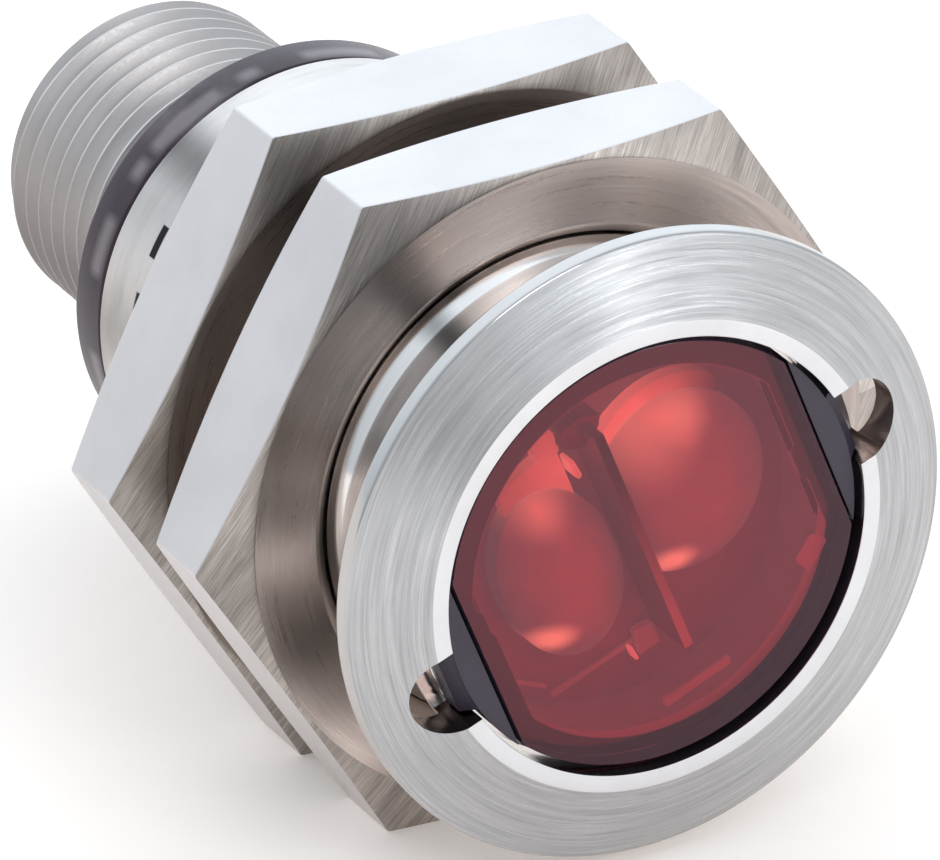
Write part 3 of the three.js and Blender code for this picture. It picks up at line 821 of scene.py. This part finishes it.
def red_filter():
    """Clear red plastic: it tints what is behind it and mirrors a little at its surfaces."""
    n = Nodes("red_filter")
    tinted = n.node("ShaderNodeBsdfTransparent", Color=rgb(0.9, 0.35, 0.37))
    shine = n.node("ShaderNodeBsdfGlossy", Color=rgb(1.0, 0.78, 0.92), Roughness=0.04)
    facing = n.node("ShaderNodeLayerWeight", Blend=0.5).outputs["Facing"]
    mirror = n.math("ADD", n.math("MULTIPLY", n.math("POWER", facing, 5.0), 0.9), 0.05)
    blend = n.node("ShaderNodeMixShader", _0=mirror)
    n.link(tinted.outputs[0], blend.inputs[1])
    n.link(shine.outputs[0], blend.inputs[2])
    n.link(blend.outputs[0], n.output.inputs[0])
    return n


# ---------------------------------------------------------------- finishes by name
# Colour of the brightest glowing mouldings, and the reach of each lens's painted hot spot.
BRIGHT = (0.6, 0.55, 0.55)
SPOT = (1.2, 0.95)

# The fans given to these metals are painted highlight and painted shade.
turned_cone = brushed_round("turned_cone", (0.57, 0.57, 0.58), rough=0.3, grain=11.0, aniso=0.65,
                            bump=0.45, tint=0.36, fans=CONE_FANS)
face_ring = satin_metal("face_ring", (0.775, 0.77, 0.78), rough=0.5)
polished = brushed_round("polished_steel", (0.86, 0.83, 0.81), rough=0.1, grain=3.0, aniso=0.2,
                         bump=0.06, tint=0.08, fans=NECK_FANS)
rim_steel = brushed_round("rim_steel", (0.52, 0.5, 0.49), rough=0.12, grain=3.0, aniso=0.2,
                          bump=0.06, tint=0.08)
nut_face = brushed_round("nut_face", (0.54, 0.465, 0.43), rough=0.3, grain=8.0, aniso=0.8,
                         bump=0.1, tint=0.24, fans=NUT_FANS, twist=0.25)
rear_face = brushed_round("rear_nut_face", (0.54, 0.46, 0.42), rough=0.3, grain=8.0, aniso=0.8,
                          bump=0.1, tint=0.24, fans=REAR_NUT_FANS, twist=0.25)
sink = satin_metal("countersink", (0.6, 0.5, 0.45), rough=0.5, fans=SINK_FANS)
# Painted shade: the notch walls get a dark colour for the shade that falls in the notches.
notch_wall = satin_metal("notch_wall", (0.15, 0.11, 0.1), rough=0.22)
chamfer = scratched("nut_chamfer", (0.6, 0.54, 0.5), rough=0.33, lean=math.radians(55), fans=CHAMFER_FANS)
nut_side = satin_metal("nut_side", (0.645, 0.61, 0.603), rough=0.42)
thread_steel = satin_metal("thread_steel", (0.56, 0.51, 0.475), rough=0.3)
collar = collar_finish()
thread_metal = satin_metal("thread_metal", (0.51, 0.475, 0.465), rough=0.42, fans=SHELL_FANS)
gold = satin_metal("gold_plate", (0.85, 0.62, 0.26), rough=0.22)
black = plastic("black_plastic", (0.028, 0.02, 0.033), rough=0.45)
mask_black = plastic("mask_black", (0.02, 0.016, 0.022), rough=0.5, bump=0.03)
rubber = plastic("seal_rubber", (0.03, 0.018, 0.034), rough=0.7)
board = plastic("solder_mask", (0.015, 0.09, 0.03), rough=0.35)
chip = plastic("chip_package", (0.015, 0.015, 0.016), rough=0.5)
tan = plastic("ceramic", (0.38, 0.25, 0.13), rough=0.45)
led = plastic("clear_resin", (0.75, 0.73, 0.66), rough=0.15)
smoky = smoky_finish()
red = red_filter()
# The optics carrier glows faintly with painted light.
pale = glowing("optics_carrier_glow", (0.21, 0.2, 0.24), (0.06, 0.07, 0.085))
# Painted highlights: the hot spot low on each dome and the paler patches near its top are given off as
# emission.
left_glass = lens_finish("emitter_glass", (
    ((-3.95, -1.95), SPOT, -0.35, 1.15),
    ((-2.52, 2.5), (1.3, 1.2), 0, 0.3),
    ((-2.2, 3.4), (2.6, 1.8), 0, 0.35)))
right_glass = lens_finish("receiver_glass", (
    ((1.1, -2.12), SPOT, -0.35, 1.15),
    ((3.5, 2.9), (1.5, 1.3), 0, 0.5),
    ((1.9, 3.4), (2.8, 2.8), 0.3, 0.6)))
# Painted light for the parts behind the window: each glows by emission, brighter or fainter, in place of the
# light that falls on it.
glows = {
    "bright": glowing("bright_moulding", BRIGHT, (0.74, 0.7, 0.52), ((1.4, 3.2), (9.0, 5.0), 0)),
    "crescent": glowing("crescent_moulding", BRIGHT, (0.85, 0.8, 0.58), ((1.4, 3.5), (4.9, 3.2), 0)),
    "lit": glowing("lit_moulding", BRIGHT, (0.6, 0.5, 0.4)),
    "edge": glowing("divider_edge", (0.3, 0.26, 0.28), (0.19, 0.16, 0.16), ((0.13, -5.0), (6.0, 9.0), 0)),
    "dim": glowing("dim_moulding", (0.27, 0.24, 0.27), (0.16, 0.14, 0.145)),
    "faint": glowing("faint_moulding", (0.25, 0.24, 0.26), (0.08, 0.095, 0.105)),
    "dark": glowing("dark_moulding", (0.12, 0.1, 0.11), (0.03, 0.03, 0.03)),
}
SLOT_FINISHES = {
    "stainless_barrel": polished, "nut_steel": nut_face, "connector_metal": thread_metal,
    "red_window": red, "lens_plastic": left_glass, "smoky_ring": smoky, "black_plastic": black,
    "seal_rubber": rubber, "board_green": board, "chip_black": chip, "capacitor_tan": tan,
    "led_clear": led, "gold": gold,
}


# ---------------------------------------------------------------- which faces get which finish
BARREL_FINISHES = (polished, face_ring, turned_cone, thread_steel, collar, notch_wall, rim_steel)
POLISHED, FACE, CONE, THREAD, COLLAR, NOTCH, RIM = range(len(BARREL_FINISHES))
FACE_FLAT, CHAMFER, SIDE, SINK = range(4)


def barrel_zone(radius, depth, normal):
    if radius < FACE_R + 0.01 and depth < 0.03:
        return FACE
    if depth < CONE_BACK + 0.07 and normal.y < -0.9:
        return CONE
    in_notch = BORE_R + 0.01 < radius < NOTCH_R + NOTCH_HALF + 0.1
    if depth < FLANGE_BACK - 0.06 and in_notch and abs(normal.y) < 0.5:
        return NOTCH
    if depth < FLANGE_BACK + 0.09 and radius > 8.2:
        return RIM
    if THREAD_START - 0.05 < depth < THREAD_END + 0.05 and radius > 8.2:
        return THREAD
    return COLLAR if depth > THREAD_END else POLISHED


def nut_zone(radius, depth, normal):
    if radius < 9.5:
        return SINK
    if abs(normal.y) > 0.99:
        return FACE_FLAT
    return CHAMFER if abs(normal.y) > 0.8 else SIDE


def housing_zone(radius, depth, normal):
    """The bore of the housing glows with painted light behind the window; the rest is black."""
    return 1 if radius < 6.97 and abs(normal.y) < 0.5 else 0


def window_zone(radius, depth, normal):
    """The window's two faces are clear, its edge is black."""
    return 0 if abs(normal.y) > 0.5 else 1


def wall_zone(radius, depth, normal):
    """The divider's front edge glows with painted light, its sides are dark and glow only faintly."""
    return 1 if normal.y < -0.5 else 0


# ---------------------------------------------------------------- build
slot_of = {s["node"]: s["material_slot"] for s in frame["record"]["subparts"]}
for node, obj in frame["nodes"].items():
    paint(obj, SLOT_FINISHES[slot_of[node]])
paint(frame["nodes"]["optics_carrier"], pale)
paint(frame["nodes"]["front_housing"], black, glows["faint"], choose=housing_zone)

paint(barrel(), *BARREL_FINISHES, choose=barrel_zone)
paint(nut("hex_nut_front", "front_nut", "front_nut"), nut_face, chamfer, nut_side, sink, choose=nut_zone)
paint(nut("hex_nut_rear", "rear_nut", "rear_nut"), rear_face, chamfer, nut_side, sink, choose=nut_zone)
paint(connector(), thread_metal)
paint(light_ring(), smoky)
paint(window(), red, black, choose=window_zone)
left_lens, right_lens, wall = optics()
paint(left_lens, left_glass)
paint(right_lens, right_glass)
paint(wall, glows["dark"], glows["edge"], choose=wall_zone)
for piece, kind in mouldings():
    paint(piece, glows[kind])
mask, rim = optics_mask()
paint(corner_pad(), glows["dim"])
paint(mask, mask_black)
paint(rim, glows["faint"])


# ---------------------------------------------------------------- floor, lights, camera
FLOOR_HALF = 3.0
LIGHT_COLOUR = (0.9, 0.995, 1.08)
# Name, direction from the sensor, distance, width and height in metres, and radiance.
LAMPS = (
    ("key", (0.05, -0.83, 0.56), 0.7, 0.24, 0.13, 8),
    ("side", (0.45, -0.88, 0.1), 0.8, 0.12, 0.3, 4),
)
SKY_LOW, SKY_HIGH, SKY_BEND = 0.64, 1.77, 3.1
SKY_BRIGHTEST = (0.35, 0.75, 0.56)
CAMERA_PLACE = (-0.14763, -0.28224, 0.16265)
CAMERA_BACK = (-0.41757, -0.78201, 0.46270)
CAMERA_AZIMUTH, CAMERA_ROLL = math.radians(-28.10), math.radians(-2.09)
FOCAL_LENGTH, FILM_WIDTH = 390.8, 36.0


def floor():
    """A plain pale floor that the sensor stands on."""
    mesh = bpy.data.meshes.new("floor")
    half, z = FLOOR_HALF, cad_low.z
    corners = [(-half, -half, z), (half, -half, z), (half, half, z), (-half, half, z)]
    mesh.from_pydata(corners, [], [(0, 1, 2, 3)])
    obj = bpy.data.objects.new("floor", mesh)
    bpy.context.scene.collection.objects.link(obj)
    n = Nodes("floor_paint")
    cloud = n.noise(n.position(), 8.0)
    white = n.mix(cloud, rgb(0.95, 0.875, 0.82), rgb(0.97, 0.895, 0.84))
    n.principled(Base_Color=white, Roughness=0.9, Emission_Color=white, Emission_Strength=0.2)
    mesh.materials.append(n.material)


def lamp(name, direction, distance, width, height, radiance):
    """A soft rectangular light that faces the sensor."""
    data = bpy.data.lights.new(name, "AREA")
    data.shape = "RECTANGLE"
    data.size, data.size_y = width, height
    data.energy = radiance * width * height * math.pi
    obj = bpy.data.objects.new(name, data)
    way = Vector(direction).normalized()
    obj.location = way * distance
    obj.rotation_euler = way.to_track_quat("Z", "Y").to_euler()
    bpy.context.scene.collection.objects.link(obj)


def world():
    """A white studio that is brighter behind and above the sensor than in front of it."""
    studio = bpy.data.worlds.new("studio")
    bpy.context.scene.world = studio
    studio.use_nodes = True
    tree = studio.node_tree
    sky = tree.nodes["Background"]
    sky.inputs[0].default_value = LIGHT_COLOUR + (1.0,)
    place = tree.nodes.new("ShaderNodeTexCoord")
    towards = tree.nodes.new("ShaderNodeVectorMath")
    towards.operation = "DOT_PRODUCT"
    tree.links.new(place.outputs["Generated"], towards.inputs[0])
    towards.inputs[1].default_value = Vector(SKY_BRIGHTEST).normalized()
    share = tree.nodes.new("ShaderNodeMapRange")
    tree.links.new(towards.outputs["Value"], share.inputs[0])
    share.inputs[1].default_value = -1.0
    bend = tree.nodes.new("ShaderNodeMath")
    bend.operation = "POWER"
    bend.inputs[1].default_value = SKY_BEND
    tree.links.new(share.outputs[0], bend.inputs[0])
    level = tree.nodes.new("ShaderNodeMapRange")
    tree.links.new(bend.outputs[0], level.inputs[0])
    level.inputs[3].default_value, level.inputs[4].default_value = SKY_LOW, SKY_HIGH
    tree.links.new(level.outputs[0], sky.inputs[1])


def camera():
    data = bpy.data.cameras.new("camera")
    data.lens, data.sensor_width = FOCAL_LENGTH, FILM_WIDTH
    data.clip_start, data.clip_end = 0.01, 20.0
    obj = bpy.data.objects.new("camera", data)
    back = Vector(CAMERA_BACK).normalized()
    level = Vector((math.cos(CAMERA_AZIMUTH), math.sin(CAMERA_AZIMUTH), 0))
    up = back.cross(level)
    right = level * math.cos(CAMERA_ROLL) + up * math.sin(CAMERA_ROLL)
    upright = back.cross(right)
    obj.matrix_world = Matrix((
        (right.x, upright.x, back.x, CAMERA_PLACE[0]),
        (right.y, upright.y, back.y, CAMERA_PLACE[1]),
        (right.z, upright.z, back.z, CAMERA_PLACE[2]),
        (0, 0, 0, 1)))
    bpy.context.scene.collection.objects.link(obj)
    bpy.context.scene.camera = obj


floor()
world()
for settings in LAMPS:
    lamp(*settings)
camera()
bpy.context.scene.view_settings.view_transform = "Standard"
